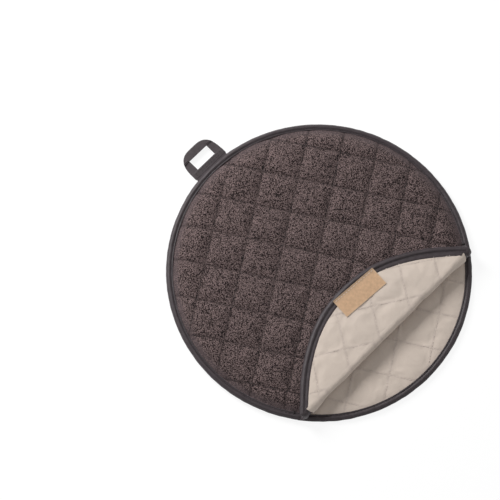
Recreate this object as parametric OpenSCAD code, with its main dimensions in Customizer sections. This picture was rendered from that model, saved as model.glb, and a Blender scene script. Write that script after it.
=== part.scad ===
// Round quilted cloth warmer: two padded discs bound together round the back of the rim, with a
// mouth at the front that a folding flap of the top disc covers. Origin: centre of the underside,
// +Z up, mouth towards -Y, hanging loop towards +Y. The flap is drawn folded back, as when open.

/* [Pouch] */
// Diameter over the binding
pouch_d = 305; // [290:1:340]
// Room between the two linings
pocket_h = 5; // [4.8:0.1:7]
// Distance from the centre to the line on which the flap folds
fold_y = 91; // [84:1:100]
// Height of the rim binding above the table
rim_lift = 1.2; // [0.8:0.1:1.6]
// Width of the band in which the padding slopes down to the rim
slope_w = 20; // [16:1:26]

/* [Quilted cloth] */
// Thickness of the terry cloth with its nap
terry_t = 1.4; // [1.2:0.1:1.8]
// Thickness of the batting in the middle of a quilted square
batting_t = 3; // [2.6:0.1:3.6]
// Thickness of the lining
lining_t = 0.6; // [0.5:0.1:0.8]
// Distance between the quilting lines
quilt_pitch = 35.75; // [32:0.25:40]
// Angle between the X axis and the first quilting lines
quilt_angle = 32.5; // [20:0.5:45]
// Depth of a quilted channel in the terry
quilt_depth = 1.5; // [1:0.1:1.7]
// Half the width over which a channel rises to full height
channel_half_w = 12; // [8:0.5:14]
// Width of the rows of quilting stitches
thread_w = 0.5; // [0.3:0.05:0.6]
// How far the rows of stitches stand up
thread_h = 0.3; // [0.2:0.05:0.4]

/* [Binding] */
// Width of the binding seen from above
binding_w = 8; // [7:0.5:10]
// Width of the binding's rounded outer edge, beyond the slot for the cloth
nose_w = 2.6; // [2.2:0.1:2.8]
// Thickness of the binding tape
tape_t = 0.7; // [0.5:0.05:0.9]
// Thickness of one disc where the binding squeezes it
edge_t = 2.3; // [2:0.1:2.8]
// Distance from the binding's inner edge to its row of stitches
seam_inset = 1.2; // [1:0.1:2]
// Width of the stitches of the binding
seam_w = 0.6; // [0.4:0.05:0.7]
// Length of a bar tack at the corners of the mouth
tack_l = 4.5; // [3:0.5:4.5]
// Width of a bar tack
tack_w = 1.8; // [1.2:0.1:2.4]

/* [Loop] */
// Width of the hanging loop along the rim
loop_w = 42; // [34:1:50]
// How far the loop stands out from the rim
loop_reach = 27; // [24:0.5:36]
// Width of the loop's tape
loop_tape_w = 9; // [7:0.5:10]
// Thickness of one layer of the loop's tape
loop_t = 0.9; // [0.7:0.05:1.1]
// Width of the loop's tape that shows at the rim
loop_base_w = 6; // [4:0.5:8]

/* [Tag] */
// Length of the care tag along its seam
tag_l = 52; // [40:1:60]
// Width of the care tag from its seam to its free edge
tag_w = 21; // [14:0.5:22]
// Thickness of the care tag
tag_t = 0.5; // [0.4:0.05:0.7]
// Sideways place of the tag's middle
tag_x = 9.5; // [-20:0.5:20]
// Turn of the tag against the fold line
tag_turn = -4; // [-8:0.5:8]
// How far the tag's seam lies over the inner edge of the flap's binding
tag_lap = 1.5; // [1:0.5:4]

/* [Clearance] */
// Room between pieces that move past each other
soft_gap = 0.3; // [0.3:0.05:0.5]
// Room at the fold between the closed flap and the top disc
fold_gap = 0.8; // [0.8:0.1:1.2]
// Room round the cut edges inside the binding
edge_room = 0.3; // [0.2:0.05:0.5]

/* [Hidden] */
$fn = 40;
profile_fn = 16;                       // roundness of small rounded profiles
fold_steps = 10;                       // facets round the rolled cloth of the fold
cut_room = 1;                          // cutters reach this far beyond what they cut

// Larger than the part, for cuts that go right through it
far = 2 * pouch_d;

// Radii, from the rim inwards
pouch_r = pouch_d / 2;
slot_end_r = pouch_r - nose_w;         // end of the slot that holds the cut edges
edge_r = slot_end_r - edge_room;       // cut edge of the layers
slot_r = pouch_r - binding_w;          // inner edge of the binding
crown_r = slot_r - slope_w;            // where the padding starts to slope down
slope_steps = 2;
slope_power = 2.2;                     // 1 is a straight slope, more a fuller crown

// Heights in a disc, from its lining up to its terry: full, then squeezed in the binding
pad_t = lining_t + batting_t + terry_t;
lining_h = lining_t;
batting_h = lining_t + batting_t;
squeeze = edge_t / pad_t;

// Heights in the pouch, from the table up
roof_z = pad_t + pocket_h;
top_z = roof_z + pad_t;
seam_z = rim_lift + tape_t + edge_t;   // where the two linings meet in the rim
rim_h = 2 * edge_t + 2 * tape_t;
rim_top_z = rim_lift + rim_h;
leaf_h = edge_t + 2 * tape_t;          // height of a binding round one disc alone
mouth_top_z = rim_lift + leaf_h;
seam_h = seam_w / 2;

// Lining face of each disc inside its binding, above the same face in the middle of the disc
low_edge = pad_t - seam_z;             // bottom disc, measured down from its lining
high_edge = seam_z - roof_z;
flap_edge = (pad_t - edge_t) / 2;      // the flap is squeezed about its mid height

// The folded flap lies on the top disc with its lining up
flap_top_z = top_z + soft_gap + pad_t;
leaf_low = (pad_t - leaf_h) / 2;       // the flap's binding, above the flap's lining
leaf_high = leaf_low + leaf_h;

// Where the fold line leaves the flat crown, and where it meets the binding
slot_x = sqrt(slot_r * slot_r - fold_y * fold_y);
rim_x = sqrt(pouch_r * pouch_r - fold_y * fold_y);

// Quilting: the lines of the top disc cross beside its middle, and the bottom disc has a whole
// square over its middle
top_shifts = [4.5, 20.9];
low_shifts = [quilt_pitch / 2, quilt_pitch / 2];
row_margin = 1;                        // a row of stitches keeps this far inside an edge
thread_lift = 0.05;                    // the stitches lie this far off the cloth
over_terry = 2;                        // the channels are cut from this far off the cloth

// Bar tacks at the corners of the mouth
tack_inset = 0.3;                      // from the binding's inner edge
tack_back = 1.5;                       // degrees behind the fold line

// Hanging loop
loop_hinge_y = pouch_r + soft_gap + loop_t;
loop_z = rim_lift + rim_h / 2;
loop_end_y = loop_hinge_y + loop_reach;

// Care tag, on the flap as drawn
tag_z = flap_top_z + 2 * thread_lift + thread_h;
tag_seam_y = slot_r - 2 * fold_y + tag_lap;

terry_colour = [0.33, 0.28, 0.28];
lining_colour = [0.76, 0.71, 0.66];
batting_colour = [0.93, 0.92, 0.90];
tape_colour = [0.23, 0.19, 0.19];
thread_colour = [0.20, 0.17, 0.17];
pale_thread_colour = [0.66, 0.60, 0.54];
tag_colour = [0.79, 0.68, 0.54];

// ---- Surfaces of a disc, as heights above its lining ----

// Height at the rim of the surface that lies h above the lining in the middle of the disc
function at_edge(edge, h) = edge + h * squeeze;
// Outline of that surface: flat, then sloping to the binding, then level inside it
function outline(edge, h) = concat(
    [[0, h]],
    [for (i = [0 : slope_steps])
        let (s = i / slope_steps, low = at_edge(edge, h))
        [crown_r + s * slope_w, low + (h - low) * (1 - pow(s, slope_power))]],
    [[edge_r, at_edge(edge, h)]]
);
function height_at(r, edge, h) = lookup(r, outline(edge, h));

// The room below the surface h, or above it. A wider one cuts the other right through.
module below(edge, h, wider = 0) {
    line = outline(edge, h);
    reach = pad_t + wider + abs(edge);
    rotate_extrude()
        polygon(concat(line, [
            [edge_r + wider, at_edge(edge, h)],
            [edge_r + wider, -reach],
            [0, -reach],
        ]));
}
module above(edge, h, wider = 0) {
    line = outline(edge, h);
    reach = 2 * pad_t + wider;
    rotate_extrude()
        polygon(concat(line, [
            [edge_r + wider, at_edge(edge, h)],
            [edge_r + wider, reach],
            [0, reach],
        ]));
}

// Repeats a child that lies along X on each line of both crossing sets of quilting lines.
// $line_off is the line's distance from the centre.
module on_quilt_lines(shifts, out_r) {
    for (set = [0, 1])
        rotate(quilt_angle + 90 * set) {
            first = ceil((-out_r - shifts[set]) / quilt_pitch);
            last = floor((out_r - shifts[set]) / quilt_pitch);
            for (i = [first : last]) {
                $line_off = shifts[set] + i * quilt_pitch;
                translate([0, $line_off, 0]) children();
            }
        }
}
// V-shaped channels, cut down into the surface at height z
module channels(z, shifts) {
    half_w = channel_half_w * (1 + over_terry / quilt_depth);
    on_quilt_lines(shifts, slot_r - channel_half_w / 2)
        rotate([90, 0, 90])
            linear_extrude(far, center = true)
                polygon([
                    [0, z - quilt_depth],
                    [half_w, z + over_terry],
                    [-half_w, z + over_terry],
                ]);
}
// Below a surface on the terry's side, as quilted
module quilted_below(edge, h, shifts, wider = 0) {
    difference() {
        below(edge, h, wider);
        channels(h, shifts);
    }
}

// ---- The three layers of a disc, lining down, and its quilting stitches ----

module terry_layer(edge, shifts) {
    difference() {
        quilted_below(edge, pad_t, shifts);
        quilted_below(edge, batting_h, shifts, wider = cut_room);
    }
}
module batting_layer(edge, shifts) {
    intersection() {
        quilted_below(edge, batting_h, shifts);
        above(edge, lining_h, wider = cut_room);
    }
}
module lining_layer(edge) {
    difference() {
        above(edge, 0);
        above(edge, lining_h, wider = cut_room);
    }
}
// Radius at which the slope has come down by a depth
function run_out_r(edge, depth) =
    let (drop = pad_t - at_edge(edge, pad_t))
    min(slot_r - row_margin, crown_r + slope_w * pow(min(1, depth / drop), 1 / slope_power));
module stitch_rows(z, r, shifts) {
    on_quilt_lines(shifts, r - row_margin)
        translate([0, 0, z])
            cube([2 * sqrt(r * r - $line_off * $line_off), thread_w, thread_h], center = true);
}
module quilting(edge, shifts) {
    stitch_rows(pad_t - quilt_depth + thread_lift + thread_h / 2,
        run_out_r(edge, quilt_depth), shifts);
    stitch_rows(-thread_lift - thread_h / 2, crown_r, shifts);
}

// ---- Places ----

module in_bottom_disc() {
    translate([0, 0, pad_t]) mirror([0, 0, 1]) children();
}
module in_top_disc() {
    behind_fold()
        translate([0, 0, roof_z]) children();
}
// A piece of the flap is made in front of the fold, and turned over onto the top disc
module in_flap() {
    translate([0, -2 * fold_y, flap_top_z])
        rotate([180, 0, 0])
            before_fold(fold_gap) children();
}
module behind_fold() {
    intersection() {
        children();
        translate([-far / 2, -fold_y, -far / 2]) cube(far);
    }
}
module before_fold(gap = 0) {
    intersection() {
        children();
        translate([-far / 2, -fold_y - gap - far, -far / 2]) cube(far);
    }
}

// ---- Bindings ----

// A ring of tape from height z up, rounded outside, with a slot for the cut edges
module binding_ring(z, h) {
    flat_w = pouch_r - h / 2 - slot_r;
    difference() {
        union() {
            rotate_extrude() translate([slot_r, z]) square([flat_w, h]);
            rotate_extrude()
                translate([slot_r + flat_w, z + h / 2]) circle(h / 2, $fn = profile_fn);
        }
        rotate_extrude()
            translate([slot_r - cut_room, z + tape_t])
                square([slot_end_r - slot_r + cut_room, h - 2 * tape_t]);
    }
}
// A row of stitches on each face of the ring from height z up
module stitch_rings(z, h) {
    for (foot = [z - seam_h, z + h])
        rotate_extrude()
            translate([slot_r + seam_inset, foot]) square([seam_w, seam_h]);
}

// ---- The fold: cloth that leaves the top disc, rolls over and runs into the flap ----

// One section across the fold at x. low and high are the lower and upper heights of the cloth
// of the top disc and of the folded flap there.
function roll(x, bottom, top, depth) = [
    for (i = [0 : fold_steps])
        let (a = -90 + 180 * i / fold_steps, out = depth * cos(a))
        [x * (1 - out * fold_y / (slot_x * slot_x)),
            -fold_y - out,
            (bottom + top) / 2 + (top - bottom) / 2 * sin(a)]
];
function fold_section(x, low, high) =
    let (depth = (high[1] - low[0]) / 2, t = min(low[1] - low[0], high[1] - high[0]))
    concat(
        roll(x, low[0], high[1], depth),
        [[x, -fold_y + fold_gap, high[1]], [x, -fold_y + fold_gap, high[0]]],
        [for (p = roll(x, low[1], high[0], max(soft_gap / 2, depth - t)))
            [p[0], p[1], low[1] + high[0] - p[2]]]
    );
// Skin over a row of sections with as many points each
module through_sections(sections) {
    n = len(sections[0]);
    last = len(sections) - 1;
    polyhedron(
        points = [for (s = sections) each s],
        faces = concat(
            [for (k = [0 : last - 1], i = [0 : n - 1])
                let (j = (i + 1) % n)
                each [[k * n + i, k * n + j, (k + 1) * n + j],
                    [k * n + i, (k + 1) * n + j, (k + 1) * n + i]]],
            [for (i = [0 : n / 2 - 2])
                each [[i, n - 1 - i, n - 2 - i], [i, n - 2 - i, i + 1]]],
            [for (i = [0 : n / 2 - 2])
                let (o = last * n)
                each [[o + i, o + n - 2 - i, o + n - 1 - i], [o + i, o + i + 1, o + n - 2 - i]]]
        )
    );
}
// Heights of the cloth on both sides of the fold at distance x from its middle
function low_cloth(x) =
    let (r = min(edge_r, sqrt(x * x + fold_y * fold_y)),
        foot = max(roof_z + height_at(r, high_edge, 0), mouth_top_z + soft_gap))
    [foot, max(roof_z + height_at(r, high_edge, pad_t), foot + edge_t)];
function high_cloth(x) =
    let (r = min(edge_r, sqrt(x * x + pow(fold_y + fold_gap, 2))))
    [flap_top_z - height_at(r, flap_edge, pad_t), flap_top_z - height_at(r, flap_edge, 0)];

// ---- Sub-parts ----

module bottom_terry() { color(terry_colour) in_bottom_disc() terry_layer(low_edge, low_shifts); }
module bottom_batting() {
    color(batting_colour) in_bottom_disc() batting_layer(low_edge, low_shifts);
}
module bottom_lining() {
    color(lining_colour) in_bottom_disc() lining_layer(low_edge);
}
module bottom_quilting() {
    color(thread_colour) in_bottom_disc() quilting(low_edge, low_shifts);
}

module top_terry() { color(terry_colour) in_top_disc() terry_layer(high_edge, top_shifts); }
module top_batting() { color(batting_colour) in_top_disc() batting_layer(high_edge, top_shifts); }
module top_lining() { color(lining_colour) in_top_disc() lining_layer(high_edge); }
module top_quilting() { color(thread_colour) in_top_disc() quilting(high_edge, top_shifts); }

module flap_terry() { color(terry_colour) in_flap() terry_layer(flap_edge, top_shifts); }
module flap_batting() { color(batting_colour) in_flap() batting_layer(flap_edge, top_shifts); }
module flap_lining() { color(lining_colour) in_flap() lining_layer(flap_edge); }
module flap_quilting() { color(pale_thread_colour) in_flap() quilting(flap_edge, top_shifts); }

// The cloth of the fold, from one binding to the other
module fold_cloth() {
    half = [for (i = [0 : slope_steps])
        sqrt(pow(crown_r + slope_w * i / slope_steps, 2) - fold_y * fold_y)];
    across = concat([for (i = [slope_steps : -1 : 0]) -half[i]], half);
    color(lining_colour)
        through_sections([for (x = across) fold_section(x, low_cloth(x), high_cloth(x))]);
}
// The flap's binding turns over with the cloth at both ends of the fold
module fold_binding() {
    low = [mouth_top_z + soft_gap, max(rim_top_z, mouth_top_z + soft_gap + edge_t)];
    high = [flap_top_z - leaf_high, flap_top_z - leaf_low];
    color(tape_colour)
        for (ends = [[-rim_x, -slot_x], [slot_x, rim_x]])
            through_sections([for (x = ends) fold_section(x, low, high)]);
}

module rim_binding() { color(tape_colour) behind_fold() binding_ring(rim_lift, rim_h); }
module mouth_binding() { color(tape_colour) before_fold() binding_ring(rim_lift, leaf_h); }
module flap_binding() {
    color(tape_colour) in_flap() binding_ring(leaf_low, leaf_h);
}
module rim_stitches() { color(thread_colour) behind_fold() stitch_rings(rim_lift, rim_h); }
module mouth_stitches() { color(thread_colour) before_fold() stitch_rings(rim_lift, leaf_h); }
module flap_stitches() {
    color(thread_colour) in_flap() stitch_rings(leaf_low, leaf_h);
}
// Bar tacks across the rim binding, just behind both ends of the mouth
module corner_tacks() {
    length = min(tack_l, binding_w - rim_h / 2 - tack_inset);
    color(thread_colour)
        for (side = [0, 1])
            mirror([side, 0, 0])
                rotate(tack_back - asin(fold_y / pouch_r))
                    translate([slot_r + tack_inset, 0, rim_top_z + seam_h])
                        cube([length, tack_w, seam_h]);
}

// Flat tape, folded over at both far corners, its ends brought together at the rim
module hanging_loop() {
    side_x = loop_w / 2;
    far_y = loop_end_y - loop_tape_w;
    color(tape_colour)
        union() {
            // rounded bend at the rim
            translate([0, loop_hinge_y, loop_z])
                rotate([0, 90, 0]) cylinder(h = loop_w, r = loop_t, center = true);
            // the two sides, below
            for (side = [0, 1])
                mirror([side, 0, 0])
                    translate([0, 0, loop_z - loop_t])
                        linear_extrude(loop_t)
                            polygon([
                                [side_x - loop_tape_w, loop_hinge_y],
                                [side_x, loop_hinge_y],
                                [side_x, far_y],
                                [side_x - loop_tape_w, loop_end_y],
                            ]);
            // the far side and the base, on top
            translate([0, 0, loop_z])
                linear_extrude(loop_t) {
                    polygon([
                        [-side_x, far_y],
                        [side_x, far_y],
                        [side_x - loop_tape_w, loop_end_y],
                        [loop_tape_w - side_x, loop_end_y],
                    ]);
                    translate([-side_x, loop_hinge_y]) square([loop_w, loop_base_w]);
                }
        }
}
module loop_stitches() {
    color(thread_colour)
        for (i = [1, 2])
            translate([-loop_w / 2 + seam_inset, loop_hinge_y + i * loop_base_w / 3,
                    loop_z + loop_t])
                cube([loop_w - 2 * seam_inset, seam_w, seam_h]);
}

// The tag lies on the folded flap, its long edge sewn beside the binding
module on_tag() {
    translate([tag_x, tag_seam_y, tag_z]) rotate(tag_turn) children();
}
module care_tag() {
    color(tag_colour) on_tag() translate([-tag_l / 2, -tag_w, 0]) cube([tag_l, tag_w, tag_t]);
}
module tag_stitches() {
    color(pale_thread_colour)
        on_tag()
            translate([-tag_l / 2 + seam_inset, -2 * seam_inset, tag_t])
                cube([tag_l - 2 * seam_inset, seam_w, seam_h]);
}

bottom_terry();
bottom_batting();
bottom_lining();
bottom_quilting();
top_terry();
top_batting();
top_lining();
top_quilting();
flap_terry();
flap_batting();
flap_lining();
flap_quilting();
fold_cloth();
fold_binding();
rim_binding();
mouth_binding();
flap_binding();
rim_stitches();
mouth_stitches();
flap_stitches();
corner_tacks();
hanging_loop();
loop_stitches();
care_tag();
tag_stitches();
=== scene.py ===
import math
from contextlib import contextmanager
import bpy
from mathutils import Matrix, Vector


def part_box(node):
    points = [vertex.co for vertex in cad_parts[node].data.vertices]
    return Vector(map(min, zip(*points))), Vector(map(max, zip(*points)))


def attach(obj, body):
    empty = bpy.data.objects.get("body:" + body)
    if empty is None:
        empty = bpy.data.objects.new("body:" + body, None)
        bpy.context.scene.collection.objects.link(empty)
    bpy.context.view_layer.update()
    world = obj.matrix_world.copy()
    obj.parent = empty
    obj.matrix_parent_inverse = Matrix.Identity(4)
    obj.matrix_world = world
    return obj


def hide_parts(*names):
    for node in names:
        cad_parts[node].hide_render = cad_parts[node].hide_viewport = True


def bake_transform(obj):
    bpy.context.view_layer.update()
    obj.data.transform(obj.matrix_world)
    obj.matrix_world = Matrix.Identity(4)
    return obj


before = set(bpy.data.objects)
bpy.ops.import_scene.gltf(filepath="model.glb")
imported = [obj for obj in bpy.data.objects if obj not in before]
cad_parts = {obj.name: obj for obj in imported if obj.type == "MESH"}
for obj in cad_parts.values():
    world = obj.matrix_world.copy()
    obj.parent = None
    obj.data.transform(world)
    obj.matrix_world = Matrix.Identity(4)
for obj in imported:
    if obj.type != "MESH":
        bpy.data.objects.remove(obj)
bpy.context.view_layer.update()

from types import SimpleNamespace

import bpy
import numpy as np
from bpy.props import FloatProperty, FloatVectorProperty, IntProperty, PointerProperty
from mathutils import Vector, noise

bl_info = {
    "name": "Quilted Tortilla Warmer",
    "version": (1, 0, 0),
    "blender": (4, 5, 0),
    "location": "3D View > Sidebar > Warmer",
    "description": "Round quilted cloth warmer with a bound rim, a folding flap, a loop and a tag",
    "category": "Add Mesh",
}

GRID_PER_SQUARE = 14  # cells of cloth across one quilted square
TURN_OVER = np.array([1.0, -1.0, -1.0])  # half a turn about the X axis
TOP_SHIFTS = (0.0045, 0.0209)  # of the quilting lines of the top disc and its flap
TABLE_ROOM = 0.0001  # the cloth stays this far above the table
LOOSE = 0.0003  # room between pieces that lie loosely against each other
CUT_INSET = 0.0029  # the discs are cut this far inside the pouch's edge
THREAD_ROW = 0.0026  # from a binding's inner edge to its row of stitches
LIP_ROOT = 0.0024  # from a binding's inner edge to where a wider lip starts
LIP_GROWS = (0.02, 0.09)  # between these places along X the flap's lip grows wider
FOLD_BAND = 0.003  # the pads give way in a band this wide along the fold
FOLD_ROUND = 0.0006  # how far the terry is rounded off at the fold
SEAM_BLUR = 0.0011  # a line of thread shades the cloth this far to each side
ON_LINE = 1e-5  # a point this near to a line is on it


def linear(hexcode):
    """An sRGB hex colour as linear red, green, blue and alpha."""
    parts = [int(hexcode[i : i + 2], 16) / 255 for i in (0, 2, 4)]
    rgb = [c / 12.92 if c <= 0.04045 else ((c + 0.055) / 1.055) ** 2.4 for c in parts]
    return (*rgb, 1.0)


def length(title, text, default):
    return FloatProperty(name=title, description=text, default=default, unit="LENGTH", precision=5)


def colour(title, text, hexcode):
    return FloatVectorProperty(
        name=title, description=text, default=linear(hexcode), subtype="COLOR", size=4,
        min=0, max=1,
    )


class WarmerSizes(bpy.types.PropertyGroup):
    pouch_d: length("Pouch diameter", "Diameter over the binding", 0.305)
    pocket_h: length("Pocket height", "Room between the two linings", 0.005)
    fold_y: length("Fold distance", "From the centre to the line on which the flap folds", 0.091)
    rim_lift: length("Rim lift", "Height of the rim binding above the table", 0.0012)
    slope_w: length("Slope width", "Band in which the padding slopes down to the rim", 0.020)
    pad_t: length("Padding thickness", "One disc in the middle of a square", 0.005)
    edge_t: length("Edge thickness", "One disc where the binding squeezes it", 0.0023)
    quilt_pitch: length("Quilting distance", "Distance between the quilting lines", 0.03575)
    quilt_angle: FloatProperty(
        name="Quilting angle", description="Between the X axis and the first quilting lines",
        default=math.radians(32.5), subtype="ANGLE",
    )
    quilt_depth: length("Channel depth", "Depth of a quilted channel in the terry", 0.0021)
    lining_dip: length("Lining dip", "Depth of a quilted channel in the lining", 0.0003)
    binding_w: length("Binding width", "Width of the binding seen from above", 0.008)
    flap_lip_w: length("Flap lip", "How much wider the flap's binding is on its lining", 0.0028)
    flap_lip_more: length("Flap lip's growth", "How much wider still at its right end", 0.0026)
    tape_t: length("Tape thickness", "Thickness of the binding tape", 0.0007)
    stitch_step: length("Stitch length", "From one stitch to the next", 0.0033)
    thread_d: length("Thread thickness", "Thickness of a sewing thread", 0.0005)
    loop_w: length("Loop width", "Width of the hanging loop along the rim", 0.042)
    loop_reach: length("Loop reach", "How far the loop stands out from the rim", 0.027)
    loop_tape_w: length("Loop tape width", "Width of the loop's tape", 0.009)
    loop_t: length("Loop tape thickness", "One layer of the loop's tape", 0.0009)
    loop_base_w: length("Loop base width", "Tape that shows at the rim", 0.006)
    tag_l: length("Tag length", "Along its seam", 0.052)
    tag_w: length("Tag width", "From its seam to its free edge", 0.021)
    tag_x: length("Tag place", "Sideways place of the tag's middle", 0.0095)
    tag_lap: length("Tag lap", "How far the tag's seam lies over the binding's inner edge", 0.0015)
    tag_turn: FloatProperty(
        name="Tag turn", description="Turn of the tag against the fold line",
        default=math.radians(-4), subtype="ANGLE",
    )
    puff: length("Puff", "How far the simulated terry may rise", 0.0016)
    frames: IntProperty(
        name="Cloth frames", description="Steps of the cloth simulation", default=16
    )


class WarmerColours(bpy.types.PropertyGroup):
    terry: colour("Terry", "Tips of the terry's loops", "887573")
    # painted shade in the gaps between the terry's loops
    terry_gap_shade: colour("Terry gaps", "Between the terry's loops", "151011")
    terry_pressed: colour("Pressed terry", "Flattened nap beside the binding", "5a5053")
    lining: colour("Lining", "Woven lining", "d2c4b8")
    # painted shade of the lining in its quilted channels
    lining_seam_shade: colour("Lining seam", "Lining along the quilting", "c8bab0")
    tape: colour("Tape", "Binding tape", "2c2426")
    tape_nap: colour("Tape nap", "Raised threads of the tape", "564c51")
    thread: colour("Thread", "Dark sewing thread", "2a2223")
    pale_thread: colour("Pale thread", "Thread on the lining", "d4c8bd")
    tag: colour("Tag", "Satin label", "cba785")
    # painted highlight along the label's cut edges
    tag_edge_highlight: colour("Tag edge", "Cut edge of the label", "cfb191")
    floor: colour("Floor", "Studio floor", "f4f4f4")


def plan():
    """The sizes as set, with the radii and heights that follow from them."""
    sizes = bpy.context.scene.warmer_sizes
    p = SimpleNamespace(**{key: getattr(sizes, key) for key in WarmerSizes.__annotations__})
    p.pouch_r = p.pouch_d / 2
    p.slot_r = p.pouch_r - p.binding_w
    p.crown_r = p.slot_r - p.slope_w
    p.edge_r = p.pouch_r - CUT_INSET
    p.slot_x = math.sqrt(p.slot_r**2 - p.fold_y**2)
    p.roof_z = p.pad_t + p.pocket_h
    p.top_z = p.roof_z + p.pad_t
    p.seam_z = p.rim_lift + p.tape_t + p.edge_t
    p.rim_top_z = p.rim_lift + 2 * p.edge_t + 2 * p.tape_t
    p.leaf_h = p.edge_t + 2 * p.tape_t
    p.flap_top_z = p.top_z + LOOSE + p.pad_t
    # each disc has the heights of its lining and terry, in its middle and at its rim, and the
    # shifts of its two sets of quilting lines
    half, rise = p.quilt_pitch / 2, (p.pad_t - p.edge_t) / 2
    p.bottom = SimpleNamespace(
        lining=(p.pad_t, p.seam_z), terry=(0.0, p.seam_z - p.edge_t), shifts=(half, half)
    )
    p.top = SimpleNamespace(
        lining=(p.roof_z, p.seam_z), terry=(p.top_z, p.seam_z + p.edge_t), shifts=TOP_SHIFTS
    )
    p.flap = SimpleNamespace(
        lining=(0.0, rise), terry=(p.pad_t, rise + p.edge_t), shifts=TOP_SHIFTS
    )
    return p


# ---- Mesh helpers ----


def start_fresh():
    if bpy.context.object and bpy.context.object.mode != "OBJECT":
        bpy.ops.object.mode_set(mode="OBJECT")
    bpy.ops.object.select_all(action="DESELECT")


def select_only(obj):
    start_fresh()
    obj.select_set(True)
    bpy.context.view_layer.objects.active = obj


def points_of(obj):
    co = np.empty(len(obj.data.vertices) * 3)
    obj.data.vertices.foreach_get("co", co)
    return co.reshape(-1, 3)


def radii(co):
    return np.hypot(co[:, 0], co[:, 1])


def set_points(obj, co):
    obj.data.vertices.foreach_set("co", np.ascontiguousarray(co).ravel())
    obj.data.update()


def normals_of(obj):
    out = np.empty(len(obj.data.vertices) * 3)
    obj.data.vertex_normals.foreach_get("vector", out)
    return out.reshape(-1, 3)


def mesh_object(name, co, faces):
    mesh = bpy.data.meshes.new(name)
    mesh.from_pydata([tuple(c) for c in co], [], [tuple(f) for f in faces])
    mesh.update()
    obj = bpy.data.objects.new(name, mesh)
    bpy.context.scene.collection.objects.link(obj)
    return obj


@contextmanager
def editing(obj, everything=True):
    """Edit mode on one object, with everything selected or only what is selected already."""
    select_only(obj)
    bpy.ops.object.mode_set(mode="EDIT")
    if everything:
        bpy.ops.mesh.select_all(action="SELECT")
    yield
    bpy.ops.object.mode_set(mode="OBJECT")


def placed(name):
    """The primitive just added, with its place in its mesh."""
    bpy.ops.object.transform_apply(location=True, rotation=True, scale=True)
    obj = bpy.context.object
    obj.name = name
    return obj


def flat_grid(name, along, across):
    """A grid of 1 by 1, and how far along and across it each point is, from 0 to 1."""
    start_fresh()
    bpy.ops.mesh.primitive_grid_add(x_subdivisions=along, y_subdivisions=across, size=1)
    obj = placed(name)
    co = points_of(obj)
    return obj, co[:, 0] + 0.5, co[:, 1] + 0.5


def tube_faces(stations, around):
    """Faces of a closed tube of rings of points, with a cap at each end."""
    faces = []
    for k in range(stations - 1):
        here, there = k * around, (k + 1) * around
        for i in range(around):
            j = (i + 1) % around
            faces.append((here + i, here + j, there + j, there + i))
    last = (stations - 1) * around
    return faces + [tuple(range(around))[::-1], tuple(range(last, last + around))]


def put_attribute(obj, name, values):
    data = obj.data.attributes.get(name) or obj.data.attributes.new(name, "FLOAT", "POINT")
    data.data.foreach_set("value", np.asarray(values, np.float32))


def modify(obj, kind, **settings):
    """Adds a modifier with its settings, and applies it."""
    modifier = obj.modifiers.new(kind.lower(), kind)
    for key, value in settings.items():
        setattr(modifier, key, value)
    select_only(obj)
    bpy.ops.object.modifier_apply(modifier=modifier.name)


def outward(obj):
    with editing(obj):
        bpy.ops.mesh.normals_make_consistent(inside=False)


def smooth(obj, degrees=None):
    select_only(obj)
    if degrees is None:
        bpy.ops.object.shade_smooth()
    else:
        bpy.ops.object.shade_smooth_by_angle(angle=math.radians(degrees))


def turn_over(co, p):
    """Points of the flap, made in front of the fold, turned over onto the top disc."""
    return co * TURN_OVER + np.array([0.0, -2 * p.fold_y, p.flap_top_z])


def drawn_in(co, p):
    """Points of the flap, in front of the fold, drawn in where its edge is sewn tighter."""
    least, more = 0.0012, 0.0023
    r = radii(co)
    side = smoothstep(np.abs(co[:, 0]), 0.025, 0.085)
    pull = (least + more * side) * smoothstep(r, 0.115, p.pouch_r)
    off_fold = np.clip(np.abs(co[:, 1] + p.fold_y) / 0.015, 0, 1)
    out = co.copy()
    out[:, 0] -= pull * co[:, 0] / r
    out[:, 1] -= pull * off_fold * co[:, 1] / r
    return out


def smoothstep(value, low, high):
    share = np.clip((value - low) / (high - low), 0, 1)
    return share * share * (3 - 2 * share)


def finish_piece(obj, body, slot_name, *nodes):
    """Puts a piece on its body and hides the nodes that it stands in for. slot_name names the
    material it gets if it has none yet.
    """
    if not obj.data.materials:
        obj.data.materials.append(materials[slot_name])
    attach(obj, body)
    if nodes:
        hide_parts(*nodes)


def ripple(co, size, seed, height):
    """A smooth random height at each point, with hills about as wide as size."""
    shift = Vector((seed * 7.3, seed * 3.1, seed * 5.7))
    return np.array([noise.noise(Vector(c) / size + shift) for c in co]) * height


# ---- Shapes of the quilted cloth ----


def fullness(r, p):
    """1 in the middle of a disc, falling to 0 where the binding squeezes it."""
    s = np.clip((r - p.crown_r) / p.slope_w, 0, 1)
    return 1 - s**2.2


def lines_off(x, y, shifts, p):
    """Distances to the nearest quilting line of both crossing sets."""
    u = x * math.cos(p.quilt_angle) + y * math.sin(p.quilt_angle)
    v = -x * math.sin(p.quilt_angle) + y * math.cos(p.quilt_angle)
    out = []
    for distance in (v - shifts[0], u + shifts[1]):
        rest = np.mod(distance, p.quilt_pitch)
        out.append(np.minimum(rest, p.quilt_pitch - rest))
    return out


def pillow(x, y, shifts, p):
    """0 on the quilting lines, rising steeply and then gently to 1 in a square's middle."""
    value = 1.0
    for off in lines_off(x, y, shifts, p):
        value = value * (1 - (1 - off / (p.quilt_pitch / 2)) ** 3.0)
    return value


def seam_mark(x, y, shifts, p):
    """1 on a quilting line, falling to 0 beside it."""
    off = np.minimum(*lines_off(x, y, shifts, p))
    return np.exp(-((off / SEAM_BLUR) ** 2))


def way_up(disc, side):
    """1 where a disc's lining or terry looks up, and -1 where it looks down."""
    return 1 if (disc.terry[0] > disc.lining[0]) == (side == "terry") else -1


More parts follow.
